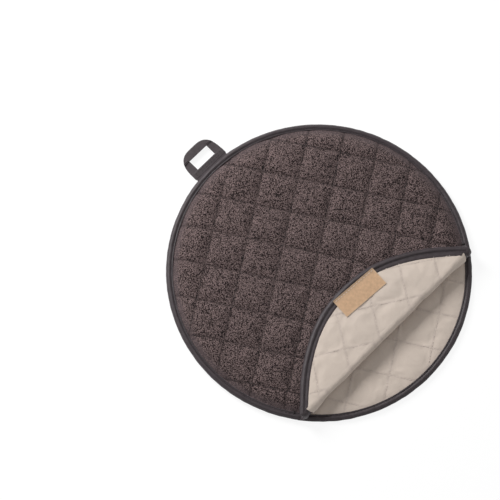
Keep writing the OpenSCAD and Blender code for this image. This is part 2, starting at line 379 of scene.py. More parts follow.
def surface(disc, side, x, y, p):
    """Height of a disc's lining or terry, as quilted."""
    groove, groove_w = 0.35, 0.0008  # share of the channel's depth that is the thread's own
    squeezed, squeezed_w = 0.0006, 0.0012  # the cloth is thinner under the tape
    r = np.hypot(x, y)
    full = fullness(r, p)
    middle, edge = getattr(disc, side)
    depth = p.quilt_depth if side == "terry" else p.lining_dip
    sink = depth * (0.3 + 0.7 * full) * (1 - pillow(x, y, disc.shifts, p))
    off = np.minimum(*lines_off(x, y, disc.shifts, p))
    sink = sink + groove * depth * full * np.exp(-((off / groove_w) ** 2))
    sink = sink + squeezed * np.clip((r - p.slot_r) / squeezed_w, 0, 1)
    return edge + (middle - edge) * full - way_up(disc, side) * sink


def closer_to_lines(distance, p):
    """Moves evenly spaced points nearer to the quilting lines, where the cloth bends most."""
    half = p.quilt_pitch / 2
    line = np.round(distance / p.quilt_pitch) * p.quilt_pitch
    rest = distance - line
    return line + np.sign(rest) * half * (np.abs(rest) / half) ** 1.35


def height_at(disc, side, x, y, p):
    """Height of a disc's lining or terry at one point."""
    return float(surface(disc, side, np.array([x]), np.array([y]), p)[0])


def cut_off(keep, p, gap=0.0):
    """Cuts what is selected at the fold, and keeps what lies before or behind it."""
    bpy.ops.mesh.bisect(
        plane_co=(0, -p.fold_y - gap, 0), plane_no=(0, 1, 0),
        clear_inner=keep == "behind", clear_outer=keep == "before",
    )


def quilted_grid(name, disc, keep, p):
    """A flat cloth turned to the quilting, cut at the rim and the fold, with a second layer."""
    start_fresh()
    step = p.quilt_pitch / GRID_PER_SQUARE
    cells = 2 * math.ceil((p.pouch_r + p.quilt_pitch) / step)
    cos_a, sin_a = math.cos(p.quilt_angle), math.sin(p.quilt_angle)
    s0, s1 = disc.shifts
    bpy.ops.mesh.primitive_grid_add(
        x_subdivisions=cells, y_subdivisions=cells, size=cells * step,
        location=(-s1 * cos_a - s0 * sin_a, -s1 * sin_a + s0 * cos_a, 0),
        rotation=(0, 0, p.quilt_angle),
    )
    obj = placed(name)
    co = points_of(obj)
    u = closer_to_lines(co[:, 0] * cos_a + co[:, 1] * sin_a + s1, p) - s1
    v = closer_to_lines(co[:, 1] * cos_a - co[:, 0] * sin_a - s0, p) + s0
    co[:, 0], co[:, 1] = u * cos_a - v * sin_a, u * sin_a + v * cos_a
    set_points(obj, co)
    with editing(obj):
        bpy.ops.mesh.select_mode(type="VERT")
        if keep != "all":
            cut_off(keep, p)
        bpy.ops.mesh.select_all(action="DESELECT")
    # the points just outside the rim are drawn on to it, and those further out are deleted
    co = points_of(obj)
    r = radii(co)
    outside = r > p.edge_r
    co[outside, :2] *= (p.edge_r / r[outside])[:, None]
    set_points(obj, co)
    obj.data.vertices.foreach_set("select", r > p.edge_r + 0.0016)
    with editing(obj, everything=False):
        bpy.ops.mesh.delete(type="VERT")
        bpy.ops.mesh.select_all(action="SELECT")
        bpy.ops.mesh.delete_loose()
        bpy.ops.mesh.select_all(action="SELECT")
        bpy.ops.mesh.extrude_region_move(TRANSFORM_OT_translate={"value": (0, 0, p.pad_t)})
        bpy.ops.mesh.select_all(action="SELECT")
        bpy.ops.mesh.normals_make_consistent(inside=False)
    return obj


def puff_up(obj, pinned, cap, limit, p):
    """Fills the squares by cloth simulation, with the stitched lines held."""
    before = points_of(obj)
    group = obj.vertex_groups.new(name="stitched")
    group.add([int(i) for i in np.nonzero(pinned)[0]], 1.0, "REPLACE")
    cloth = obj.modifiers.new("fill", "CLOTH")
    settings = dict(
        quality=4, mass=0.15, tension_stiffness=12, compression_stiffness=12,
        shear_stiffness=4, bending_stiffness=0.05, use_pressure=True,
        uniform_pressure_force=4, shrink_min=-0.014, vertex_group_mass=group.name,
    )
    for key, value in settings.items():
        setattr(cloth.settings, key, value)
    cloth.settings.effector_weights.gravity = 0
    cloth.collision_settings.use_collision = False
    cloth.point_cache.frame_end = p.frames
    for step in range(1, p.frames + 1):
        bpy.context.scene.frame_set(step)
    select_only(obj)
    bpy.ops.object.modifier_apply(modifier=cloth.name)
    bpy.context.scene.frame_set(1)
    obj.vertex_groups.clear()
    move = points_of(obj) - before
    far = np.linalg.norm(move, axis=1)
    most = cap * np.tanh(far / cap)
    set_points(obj, limit(before + move * (most / np.maximum(far, 1e-9))[:, None]))


def quilted_pad(name, disc, keep, terry_cap, lining_cap, limit, p):
    """One padded disc, or the part of one, closed all round, with terry and lining faces."""
    obj = quilted_grid(name, disc, keep, p)
    co = points_of(obj)
    x, y = co[:, 0], co[:, 1]
    cut = keep != "all"
    off_fold = np.abs(y + p.fold_y)
    upper = co[:, 2] > p.pad_t / 2
    terry = upper if way_up(disc, "terry") > 0 else ~upper
    co[:, 2] = np.where(
        terry, surface(disc, "terry", x, y, p), surface(disc, "lining", x, y, p)
    )
    if cut:
        # the terry is rounded where the cloth runs into the fold
        near = np.clip(1 - off_fold / FOLD_BAND, 0, 1) ** 2
        co[:, 2] -= np.where(terry, FOLD_ROUND * near, 0)
        crease_fold(obj, off_fold < ON_LINE)
    set_points(obj, co)
    lined = [not terry[list(face.vertices)].any() for face in obj.data.polygons]
    obj.data.materials.append(materials["terry"])
    obj.data.materials.append(materials["lining"])
    obj.data.polygons.foreach_set("material_index", np.array(lined, int))
    off = np.minimum(*lines_off(x, y, disc.shifts, p))
    more = p.flap_lip_more * smoothstep(x, *LIP_GROWS)
    lip = p.flap_lip_w + more if keep == "before" else 0.0
    held = (off < ON_LINE) | (np.hypot(x, y) > p.slot_r - 0.0015 - lip)
    cap = np.where(terry, terry_cap, lining_cap)
    if cut:
        held |= off_fold < ON_LINE
        cap = cap * (0.02 + 0.98 * np.clip(off_fold / 0.014, 0, 1))
    puff_up(obj, held, cap, limit, p)
    modify(obj, "SUBSURF", levels=1, render_levels=1)
    co = points_of(obj)
    r = radii(co)
    # seam is 1 on the quilting lines, where the materials paint shade in the channels
    put_attribute(obj, "seam", seam_mark(co[:, 0], co[:, 1], disc.shifts, p))
    put_attribute(obj, "crushed", np.clip((r - p.slot_r + 0.0055) / 0.004, 0, 1))
    if cut:
        # a little room between the two pads, which the roll of cloth bridges
        away = 1 if keep == "behind" else -1
        near = np.clip(1 - np.abs(co[:, 1] + p.fold_y) / FOLD_BAND, 0, 1)
        co[:, 1] += away * LOOSE * near
        set_points(obj, co)
    return obj


def crease_fold(obj, on_fold):
    """Keeps the edges of a pad's cut side sharp when it is subdivided."""
    ends = np.empty(len(obj.data.edges) * 2, int)
    obj.data.edges.foreach_get("vertices", ends)
    both = on_fold[ends.reshape(-1, 2)].all(axis=1)
    crease = obj.data.attributes.new("crease_edge", "FLOAT", "EDGE")
    crease.data.foreach_set("value", both.astype(np.float32))


def nap(obj, height, seed):
    """Small uneven tufts on the terry's faces."""
    terry = np.zeros(len(obj.data.vertices), bool)
    for face in obj.data.polygons:
        if face.material_index == 0:
            terry[list(face.vertices)] = True
    co = points_of(obj)
    lift = ripple(co, 0.0024, seed, height) + ripple(co, 0.016, seed + 1, height)
    set_points(obj, co + normals_of(obj) * (lift * terry)[:, None])


# ---- Materials ----


def add(tree, kind, links=None, **settings):
    """Adds a node with its settings, and links or fills its inputs. A node that is given for
    an input stands for its first output."""
    node = tree.nodes.new("ShaderNode" + kind)
    for key, value in settings.items():
        setattr(node, key, value)
    for socket, value in (links or {}).items():
        if isinstance(value, bpy.types.Node):
            value = value.outputs[0]
        if isinstance(value, bpy.types.NodeSocket):
            tree.links.new(value, node.inputs[socket])
        else:
            node.inputs[socket].default_value = value
    return node


def new_material(name):
    material = bpy.data.materials.new(name)
    material.use_nodes = True
    material.node_tree.nodes.clear()
    return material, material.node_tree


def bands(period):
    """Scale at which a Wave texture's bands repeat at a period in metres."""
    return math.tau / 20 / period


def finished(material, tree, base, tones, height, bump, surface, dark=None):
    """The material with its shader. tones is a noise, and how much it darkens and lightens the
    base colour, dark is 1 where a seam lies in shadow, bump is the strength and distance of
    height, and surface has the shader's own settings."""
    if tones:
        value = add(
            tree, "MapRange",
            {0: tones[0], 1: 0.3, 2: 0.7, 3: tones[1], 4: tones[2]},
        )
        if dark:
            value = add(tree, "Math", {0: dark, 1: -0.42, 2: value}, operation="MULTIPLY_ADD")
        base = add(tree, "HueSaturation", {"Color": base, "Value": value})
    relief = add(tree, "Bump", {"Height": height, "Strength": bump[0], "Distance": bump[1]})
    surface = {"Base Color": base, "Normal": relief, **surface}
    add(tree, "OutputMaterial", {"Surface": add(tree, "BsdfPrincipled", surface)})
    return material


def terry_cloth(colours):
    # Polyester terry, knitted in loops and brushed: it scatters light, and the gaps between its
    # tufts are painted dark with the shade that falls in them, so it looks speckled. Tufts are 1
    # mm apart, and their fibres are drawn at 0.45 mm to show.
    material, tree = new_material("brushed_terry_cloth")
    place = add(tree, "TexCoord").outputs["Object"]
    tufts = add(tree, "TexVoronoi", {"Vector": place, "Scale": 1 / 0.0010})
    fibres = add(
        tree, "TexNoise",
        {"Vector": place, "Scale": 1 / 0.00045, "Detail": 1.0, "Roughness": 0.6},
    )
    patches = add(tree, "TexNoise", {"Vector": place, "Scale": 1 / 0.030, "Detail": 2.0})
    # seam is 1 on the quilting lines, where the colour is darkened: painted shade in the quilted
    # channels
    seam = add(tree, "Attribute", attribute_name="seam").outputs["Fac"]
    crushed = add(tree, "Attribute", attribute_name="crushed").outputs["Fac"]
    tone = add(tree, "SeparateColor", {"Color": tufts.outputs["Color"]})
    height = add(tree, "Math", {0: 0.85, 1: tufts}, operation="SUBTRACT")
    lit = add(tree, "Math", {0: tone, 1: 0.22, 2: fibres}, operation="MULTIPLY_ADD")
    both = add(tree, "Math", {0: height, 1: 0.7, 2: lit}, operation="MULTIPLY_ADD")
    spread = add(tree, "MapRange", {"Value": both, "From Min": 0.77, "From Max": 1.03})
    # beside the binding the nap is pressed flat, and shows less of the painted shade of its gaps
    flat = add(tree, "Math", {0: crushed, 1: 0.38}, operation="MULTIPLY")
    pressed = add(tree, "Mix", {0: flat, 2: spread, 3: 0.5})
    tufted = add(
        tree, "Mix", {0: pressed, 6: colours.terry_gap_shade, 7: colours.terry}, data_type="RGBA"
    )
    base = add(
        tree, "Mix", {0: flat, 6: tufted.outputs[2], 7: colours.terry_pressed},
        data_type="RGBA",
    )
    surface = {
        "Roughness": 0.95, "Specular IOR Level": 0.15, "Sheen Weight": 0.25,
        "Sheen Roughness": 0.5, "Sheen Tint": linear("b9aaac"),
    }
    tones = (patches, 0.94, 1.06)
    return finished(material, tree, base.outputs[2], tones, both, (0.55, 0.0006), surface, seam)


def lining_cloth(colours):
    # Plain woven polyester-cotton, calendered flat: matt, with a faint weave and soft creases,
    # and painted shade in the channels along the stitches. Threads are 0.3 mm apart, drawn at 1.1
    # mm to show.
    material, tree = new_material("plain_woven_lining")
    place = add(tree, "TexCoord").outputs["Object"]
    warp, weft = (
        add(
            tree, "TexWave",
            {"Vector": place, "Scale": bands(0.0011), "Distortion": 0.6, "Detail": 1.0},
            bands_direction=way,
        ).outputs["Fac"]
        for way in ("X", "Y")
    )
    weave = add(tree, "Math", {0: warp, 1: weft}, operation="MULTIPLY")
    creases = add(
        tree, "TexNoise",
        {
            "Vector": place, "Scale": 1 / 0.014, "Detail": 4.0, "Roughness": 0.55,
            "Distortion": 0.8,
        },
    )
    # along the quilting lines the lining takes a darker colour: painted shade in the channels
    seam = add(tree, "Attribute", attribute_name="seam").outputs["Fac"]
    base = add(
        tree, "Mix", {0: seam, 6: colours.lining, 7: colours.lining_seam_shade}, data_type="RGBA"
    )
    height = add(tree, "Math", {0: weave, 1: 0.10, 2: creases}, operation="MULTIPLY_ADD")
    surface = {
        "Roughness": 0.8, "Specular IOR Level": 0.25, "Sheen Weight": 0.1,
        "Sheen Roughness": 0.4,
    }
    tones = (creases, 0.95, 1.03)
    return finished(material, tree, base.outputs[2], tones, height, (0.5, 0.0012), surface)


def binding_tape(colours):
    # Bias-cut polyester twill tape, folded over the edge: slightly glossy, so that its rounded
    # side catches the light. Twill lines are 0.4 mm apart, drawn at about 1 mm to show.
    material, tree = new_material("bias_twill_tape")
    place = add(tree, "TexCoord").outputs["Object"]
    twill = add(
        tree, "TexWave",
        {
            "Vector": place, "Scale": 2 * bands(0.0015), "Distortion": 1.2, "Detail": 2.0,
            "Detail Scale": 2.0,
        },
        bands_direction="DIAGONAL",
    ).outputs["Fac"]
    wear = add(tree, "TexNoise", {"Vector": place, "Scale": 1 / 0.004, "Detail": 4.0})
    amount = add(tree, "Math", {0: twill, 1: wear}, operation="MULTIPLY")
    base = add(
        tree, "Mix", {0: amount, 6: colours.tape, 7: colours.tape_nap}, data_type="RGBA"
    )
    surface = {
        "Roughness": 0.55, "Specular IOR Level": 0.5, "Sheen Weight": 0.35,
        "Sheen Roughness": 0.35, "Sheen Tint": linear("a89fa6"),
    }
    return finished(material, tree, base.outputs[2], None, twill, (0.3, 0.0002), surface)


def sewing_thread(name, tint):
    # Spun polyester sewing thread, twisted and waxed: a soft gloss with fine ply lines.
    material, tree = new_material(name)
    place = add(tree, "TexCoord").outputs["Object"]
    plies = add(tree, "TexNoise", {"Vector": place, "Scale": 1 / 0.0004, "Detail": 1.0})
    tones = (plies, 0.8, 1.15)
    return finished(material, tree, tint, tones, plies, (0.2, 0.00005), {"Roughness": 0.5})


def satin_label(colours):
    # Woven polyester satin ribbon: fine cross ribs with a soft sheen, a painted highlight along
    # its cut edges and a painted shadow along its sewn edge. Ribs are 0.25 mm apart, drawn at 1.2
    # mm to show.
    material, tree = new_material("woven_satin_ribbon")
    place = add(tree, "UVMap", uv_map="ribbon")
    ribs = add(
        tree, "TexWave",
        {"Vector": place, "Scale": bands(0.0012), "Distortion": 0.5, "Detail": 1.0},
        bands_direction="X",
    ).outputs["Fac"]
    slub = add(tree, "TexNoise", {"Vector": place, "Scale": 1 / 0.003, "Detail": 3.0})
    # a painted highlight along the tag's cut edges
    cut = add(tree, "Attribute", attribute_name="edge_highlight").outputs["Fac"]
    # painted shadow of the binding's ridge on the tag, along its sewn edge
    seam_shadow = add(tree, "Attribute", attribute_name="seam_shadow").outputs["Fac"]
    base = add(tree, "Mix", {0: cut, 6: colours.tag, 7: colours.tag_edge_highlight}, data_type="RGBA")
    tones = (slub, 0.88, 1.08)
    surface = {"Roughness": 0.5, "Specular IOR Level": 0.4, "Sheen Weight": 0.15}
    return finished(
        material, tree, base.outputs[2], tones, ribs, (0.25, 0.0002), surface, seam_shadow
    )


def studio_floor(colours):
    # Matt painted board. The camera sees it nearly white, and it keeps a fifth of the shadow.
    material, tree = new_material("matt_painted_board")
    matt = add(tree, "BsdfDiffuse", {"Color": colours.floor})
    glow = add(tree, "Emission", {"Color": (1, 1, 1, 1), "Strength": 1.06})
    path = add(tree, "LightPath").outputs
    seen = add(
        tree, "Math", {0: path["Is Camera Ray"], 1: path["Is Glossy Ray"]},
        operation="MAXIMUM",
    )
    seen = add(
        tree, "Math", {0: seen, 1: path["Is Transmission Ray"]}, operation="MAXIMUM"
    )
    share = add(tree, "Math", {0: seen, 1: 0.82}, operation="MULTIPLY")
    board = add(tree, "MixShader", {0: share, 1: matt, 2: glow})
    add(tree, "OutputMaterial", {"Surface": board})
    return material


materials = {}


# ---- Pieces ----


class WARMER_OT_materials(bpy.types.Operator):
    """Make the cloths, tapes and threads"""

    bl_idname = "warmer.materials"
    bl_label = "Materials"

    def execute(self, context):
        colours = context.scene.warmer_colours
        materials.update(
            terry=terry_cloth(colours),
            lining=lining_cloth(colours),
            tape=binding_tape(colours),
            thread=sewing_thread("dark_polyester_thread", colours.thread),
            pale_thread=sewing_thread("pale_polyester_thread", colours.pale_thread),
            tag=satin_label(colours),
            floor=studio_floor(colours),
        )
        return {"FINISHED"}


class WARMER_OT_bottom_disc(bpy.types.Operator):
    """Quilt the bottom disc, terry down and lining up"""

    bl_idname = "warmer.bottom_disc"
    bl_label = "Bottom disc"

    def execute(self, context):
        p = plan()

        def limit(co):
            co[:, 2] = np.clip(co[:, 2], TABLE_ROOM, p.pad_t + 0.0008)
            return co

        obj = quilted_pad("bottom_cloth", p.bottom, "all", p.puff, 0.0008, limit, p)
        nap(obj, 0.00012, 3)
        co = points_of(obj)
        co[:, 2] = np.maximum(co[:, 2], TABLE_ROOM)
        set_points(obj, co)
        smooth(obj)
        finish_piece(obj, "pouch", "terry", "bottom_terry", "bottom_batting", "bottom_lining")
        return {"FINISHED"}


class WARMER_OT_top_disc(bpy.types.Operator):
    """Quilt the top disc behind the fold, lining down and terry up"""

    bl_idname = "warmer.top_disc"
    bl_label = "Top disc"

    def execute(self, context):
        p = plan()

        def limit(co):
            # the folded flap lies on the terry, which is free to rise beside it
            beside = np.hypot(co[:, 0], co[:, 1] + 2 * p.fold_y) - p.pouch_r
            highest = p.top_z + 0.0001 + 0.15 * np.clip(beside, 0, 0.012)
            co[:, 2] = np.clip(co[:, 2], None, highest)
            return co

        obj = quilted_pad("top_cloth", p.top, "behind", p.puff, 0.0007, limit, p)
        nap(obj, 0.00022, 5)
        smooth(obj, 60)
        finish_piece(obj, "pouch", "terry", "top_terry", "top_batting", "top_lining")
        return {"FINISHED"}


class WARMER_OT_flap(bpy.types.Operator):
    """Quilt the flap, turned over onto the top disc"""

    bl_idname = "warmer.flap"
    bl_label = "Flap"

    def execute(self, context):
        p = plan()
        tag_low, tag_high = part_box("care_tag")
        around_tag = 0.003

        def limit(co):
            co[:, 2] = np.clip(co[:, 2], -0.0009, p.pad_t + 0.0001)
            rest = turn_over(co, p)
            under_tag = np.all(
                (rest[:, :2] > np.array(tag_low[:2]) - around_tag)
                & (rest[:, :2] < np.array(tag_high[:2]) + around_tag), axis=1,
            )
            lowest = p.flap_top_z - tag_low[2] + 0.0004
            co[:, 2] = np.where(under_tag, np.maximum(co[:, 2], lowest), co[:, 2])
            return co

        obj = quilted_pad("flap_cloth", p.flap, "before", 0.0006, 0.0009, limit, p)
        nap(obj, 0.00012, 7)
        set_points(obj, turn_over(drawn_in(points_of(obj), p), p))
        smooth(obj, 60)
        finish_piece(obj, "flap", "lining", "flap_terry", "flap_batting", "flap_lining")
        return {"FINISHED"}


def arch(x, low, high, p, count, depth, bow=1.0):
    """Points that leave the height low, roll over in front of the fold and come in at high."""
    angles = np.linspace(-90, 90, count)
    out = depth * np.cos(np.radians(angles)) ** bow
    return np.stack(
        [
            x * (1 - out * p.fold_y / p.slot_x**2),
            -p.fold_y - out,
            (low + high) / 2 + (high - low) / 2 * np.sin(np.radians(angles)),
        ],
        axis=1,
    )


class WARMER_OT_fold(bpy.types.Operator):
    """Roll the cloth and the binding over at the fold"""

    bl_idname = "warmer.fold"
    bl_label = "Fold"

    def execute(self, context):
        p = plan()
        self.cloth(p)
        self.bindings(p)
        return {"FINISHED"}

    def cloth(self, p):
        outer, inner = 17, 9  # points round the outside and the inside of the roll
        past = 0.0012  # how far the roll runs on under the tape at each end
        near_y = -p.fold_y - 0.0001
        rows = []
        for x in np.linspace(-p.slot_x - past, p.slot_x + past, 121):
            low = [height_at(p.top, side, x, near_y, p) for side in ("lining", "terry")]
            high = [
                p.flap_top_z - height_at(p.flap, side, x, near_y, p)
                for side in ("terry", "lining")
            ]
            low[0] = max(low[0], p.rim_lift + p.leaf_h + LOOSE)
            low[1] = max(low[1] - FOLD_ROUND, low[0] + p.edge_t)
            high[0] += 0.0010
            depth = (high[1] - low[0]) / 2 + 0.0004
            wave = 0.0005 * noise.noise(Vector((x / 0.021, 4.0, 1.0)))
            row = [arch(x, low[0], high[1], p, outer, depth + wave, 0.9)]
            # it runs on flush with the flap's lining, and ends just inside it
            for away, lift in ((0.0008, 0.00004), (0.0018, -0.00006)):
                under = height_at(p.flap, "lining", x, -p.fold_y - away, p)
                row.append([[x, -p.fold_y + away, p.flap_top_z - under + lift]])
            back = arch(x, low[1], high[0], p, inner, max(0.0005, depth - 0.0052))
            rows.append(np.concatenate(row + [back[::-1]]))
        count = len(rows[0])
        lined = count - inner - 1
        obj = mesh_object("fold_roll", np.concatenate(rows), tube_faces(len(rows), count))
        obj.data.materials.append(materials["lining"])
        obj.data.materials.append(materials["terry"])
        ring = [0] * lined + [1] * (count - lined)
        obj.data.polygons.foreach_set("material_index", ring * (len(rows) - 1) + [1, 1])
        outward(obj)
        co = points_of(obj)
        # the quilting lines run on round the fold
        on_fold = np.full(len(co), -p.fold_y)
        put_attribute(obj, "seam", seam_mark(co[:, 0], on_fold, p.flap.shifts, p))
        lift = ripple(co, 0.009, 11, 0.0005) + ripple(co, 0.004, 12, 0.00015)
        inside = np.clip((-p.fold_y - co[:, 1]) / 0.002, 0, 1)
        set_points(obj, co + normals_of(obj) * (lift * inside)[:, None])
        smooth(obj, 60)
        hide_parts("fold_cloth")
        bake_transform(obj)

    def bindings(self, p):
        low_z = (p.seam_z + p.rim_top_z) / 2 + LOOSE
        high_z = p.flap_top_z - p.pad_t / 2
        lead, arc = 6, 30  # stations along each straight end, and round the turn
        end_step = 0.0011  # between the stations of a straight end
        turn_depth, pulled_in = 0.0042, 0.0022
        profile = tape_profile(p, 0.0, p.leaf_h / 2)
        for side, name in ((-1, "fold_binding_left"), (1, "fold_binding_right")):
            rows = []
            for k in range(arc + 2 * lead + 1):
                share = min(max((k - lead) / arc, 0.0), 1.0)
                a = math.radians(-90 + 180 * share)
                away = max(lead - k, k - lead - arc, 0) * end_step  # past the turn
                thick = (0.72 + 0.28 * share) * (1 - 0.05 * min(away / 0.003, 1))
                bulge = math.cos(a) ** 0.8 if 0 < share < 1 else 0.0
                y = -p.fold_y + away - turn_depth * bulge
                z = (low_z + high_z) / 2 + (high_z - low_z) / 2 * math.sin(a)
                from_fold = p.fold_y + away if share > 0.5 else p.fold_y - away
                for r, h in profile:
                    tall = h * thick
                    x = math.sqrt(r**2 - from_fold**2)
                    inward = 0.0035 * share * x / r + pulled_in * bulge
                    rows.append(
                        (side * (x - inward), y + math.cos(a) * tall, z - math.sin(a) * tall)
                    )
            around = len(profile)
            obj = mesh_object(name, rows, tube_faces(len(rows) // around, around))
            outward(obj)
            modify(obj, "SUBSURF", levels=1, render_levels=1)
            co = points_of(obj)
            lift = ripple(co, 0.005, 21 + side, 0.0003)
            set_points(obj, co + normals_of(obj) * lift[:, None])
            smooth(obj)
            obj.data.materials.append(materials["tape"])
            if side == -1:
                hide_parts("fold_binding")
            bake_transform(obj)


def tape_profile(p, middle, half, lip=0.0):
    """Cross-section of a folded tape, from its inner edge on top round to the one below.
    lip is how much further in the lower side reaches."""
    top = [
        (0.0010, half - 0.00080), (0.0013, half - 0.00015), (0.0018, half - 0.00010),
        (0.0024, half - 0.00085), (0.0029, half - 0.00070), (0.0036, half + 0.00015),
        (0.0045, half + 0.00050), (0.0056, half + 0.00035), (0.0067, half * 0.80),
        (0.0076, half * 0.42),
    ]
    reach = LIP_ROOT - top[0][0]
    low = [(w - lip * max(0, LIP_ROOT - w) / reach, -h) for w, h in top]
    points = top + [(0.0080, 0.0)] + low[::-1]
    return [(p.slot_r + w, middle + h) for w, h in points]


def span(keep, radius, margin, p):
    """Angles between which a bound edge runs, a margin short of the fold at both ends."""
    turn = math.asin(p.fold_y / radius)
    if keep == "behind":
        return -turn + margin, math.pi + turn - margin
    return math.pi + turn + margin, 2 * math.pi - turn - margin


def bound_edges(p):
    """Each bound edge's name, body, side of the fold, and its tape's middle and half height."""
    rim_half, leaf_half = (p.rim_top_z - p.rim_lift) / 2, p.leaf_h / 2
    return (
        ("rim", "pouch", "behind", p.seam_z, rim_half),
        ("mouth", "pouch", "before", p.rim_lift + leaf_half, leaf_half),
        ("flap", "flap", "before", p.pad_t / 2, leaf_half),
    )


def swept_tape(name, profile, start, end, p):
    """Spins the cross-section round the pouch, into a sheet that faces outwards."""
    start_fresh()
    bpy.ops.mesh.primitive_plane_add(size=1)
    obj = bpy.context.object
    obj.name = name
    mesh = obj.data
    mesh.clear_geometry()
    mesh.from_pydata(
        [(r * math.cos(start), r * math.sin(start), z) for r, z in profile],
        [(i, i + 1) for i in range(len(profile) - 1)], [],
    )
    mesh.update()
    steps = max(8, round(p.pouch_r * (end - start) / 0.0015))
    with editing(obj):
        bpy.ops.mesh.spin(steps=steps, angle=start - end, center=(0, 0, 0), axis=(0, 0, 1))
        bpy.ops.mesh.select_all(action="SELECT")
        bpy.ops.mesh.remove_doubles(threshold=1e-6)
    outward(obj)
    co, normal = points_of(obj), normals_of(obj)
    if np.abs(np.arctan2(co[:, 1], co[:, 0]) - start).max() < 0.1:
        raise RuntimeError(name + " was not spun")
    r = radii(co)
    outermost = r > r.max() - 0.0002
    if (normal[outermost, :2] * co[outermost, :2]).sum() < 0:
        with editing(obj):
            bpy.ops.mesh.flip_normals()
    return obj


def pucker(obj, seed, p):
    """Small folds of the tape where the stitches pull it in."""
    co, normal = points_of(obj), normals_of(obj)
    r = radii(co)
    along = np.arctan2(co[:, 1], co[:, 0]) * p.pouch_r
    inner = np.exp(-(((r - p.slot_r - THREAD_ROW) / 0.0016) ** 2))
    pull = 0.00012 * np.cos(2 * math.pi * along / p.stitch_step) * inner
    slanted = np.stack([along + 0.8 * (r - p.slot_r), 3 * r, co[:, 2]], axis=1)
    folds = ripple(slanted, 0.006, seed, 0.00030) * np.clip((r - p.slot_r) / 0.003, 0.15, 1)
    set_points(obj, co + normal * (pull + folds)[:, None])


def widened_lip(co, middle, p):
    """The flap's lip reaches further in towards the right-hand end of the fold."""
    r = radii(co)
    reach = 0.0014 + p.flap_lip_w
    share = np.clip((p.slot_r + LIP_ROOT - r) / reach, 0, 1) * (co[:, 2] < middle)
    pull = p.flap_lip_more * smoothstep(co[:, 0], *LIP_GROWS) * share / r
    out = co.copy()
    out[:, :2] -= co[:, :2] * pull[:, None]
    return out


class WARMER_OT_bindings(bpy.types.Operator):
    """Bind the rim, the mouth and the flap with folded tape"""

    bl_idname = "warmer.bindings"
    bl_label = "Bindings"

    def execute(self, context):
        p = plan()
        spare = 0.06  # radians of tape past the fold, cut off there
        for seed, (name, body, keep, middle, half) in enumerate(bound_edges(p)):
            on_flap = body == "flap"
            profile = tape_profile(p, middle, half, p.flap_lip_w if on_flap else 0.0)
            obj = swept_tape(name + "_tape", profile, *span(keep, p.pouch_r, -spare, p), p)
            pucker(obj, seed + 30, p)
            with editing(obj):
                cut_off(keep, p, 0.0006 if on_flap else 0.0)
            modify(obj, "SOLIDIFY", thickness=p.tape_t, offset=-1)
            if on_flap:
                co = widened_lip(points_of(obj), middle, p)
                set_points(obj, turn_over(drawn_in(co, p), p))
            smooth(obj)
            finish_piece(obj, body, "tape", name + "_binding")
        return {"FINISHED"}


# ---- Stitches ----


def one_stitch(p):
    """A short stitch of thread along X, its ends dipping into the cloth."""
    start_fresh()
    stitch_l = 0.72 * p.stitch_step
    bpy.ops.mesh.primitive_cylinder_add(
        vertices=6, radius=p.thread_d / 2, depth=stitch_l, rotation=(0, math.pi / 2, 0)
    )
    obj = placed("stitch")
    with editing(obj):
        for share in (-0.3, 0.3):
            bpy.ops.mesh.select_all(action="SELECT")
            bpy.ops.mesh.bisect(plane_co=(share * stitch_l, 0, 0), plane_no=(1, 0, 0))
    co = points_of(obj)
    end = np.clip((np.abs(co[:, 0]) / (stitch_l / 2) - 0.6) / 0.4, 0, 1)
    thinner = 1 - 0.55 * end
    co[:, 1] *= thinner
    co[:, 2] = co[:, 2] * thinner - 0.6 * p.thread_d * end
    faces = [tuple(face.vertices) for face in obj.data.polygons]
    bpy.data.objects.remove(obj)
    return co, faces


def on_flap(point, along, up, p):
    """A stitch's place on the flap, which is turned over onto the top disc."""
    point = turn_over(drawn_in(point[None], p)[0], p)
    return point, along * TURN_OVER, up * TURN_OVER


def sewn(name, places, shape):
    """Copies of one stitch at places, each a point, a direction along it and an upward one."""
    co, faces = shape
    all_co, all_faces = [], []
    for point, along, up in places:
        along = np.asarray(along, float)
        along = along / np.linalg.norm(along)
        across = np.cross(np.asarray(up, float), along)
        across /= np.linalg.norm(across)
        up = np.cross(along, across)
        base = len(all_co) * len(co)
        all_co.append(np.asarray(point) + co @ np.stack([along, across, up]))
        all_faces += [tuple(base + i for i in face) for face in faces]
    obj = mesh_object(name, np.concatenate(all_co), all_faces)
    smooth(obj)
    return obj


class WARMER_OT_seam_stitches(bpy.types.Operator):
    """Sew the bindings on, stitch by stitch"""

    bl_idname = "warmer.seam_stitches"
    bl_label = "Seam stitches"

    def execute(self, context):
        p = plan()
        shape = one_stitch(p)
        step = p.stitch_step / p.slot_r
        radius = p.slot_r + THREAD_ROW
        for name, body, keep, middle, half in bound_edges(p):
            margin = step if name == "rim" else 2 * step
            start, end = span(keep, p.slot_r, margin, p)
            places = []
            for i in range(int((end - start) / step)):
                a = start + (i + 0.5) * step
                x, y = radius * math.cos(a), radius * math.sin(a)
                along = np.array([-math.sin(a), math.cos(a), 0])
                for way in (1, -1):
                    point = np.array([x, y, middle + way * (half - 0.0007)])
                    place = (point, along, np.array([0, 0, way]))
                    places.append(on_flap(*place, p) if body == "flap" else place)
            obj = sewn(name + "_seam", places, shape)
            finish_piece(obj, body, "thread", name + "_stitches")
        return {"FINISHED"}


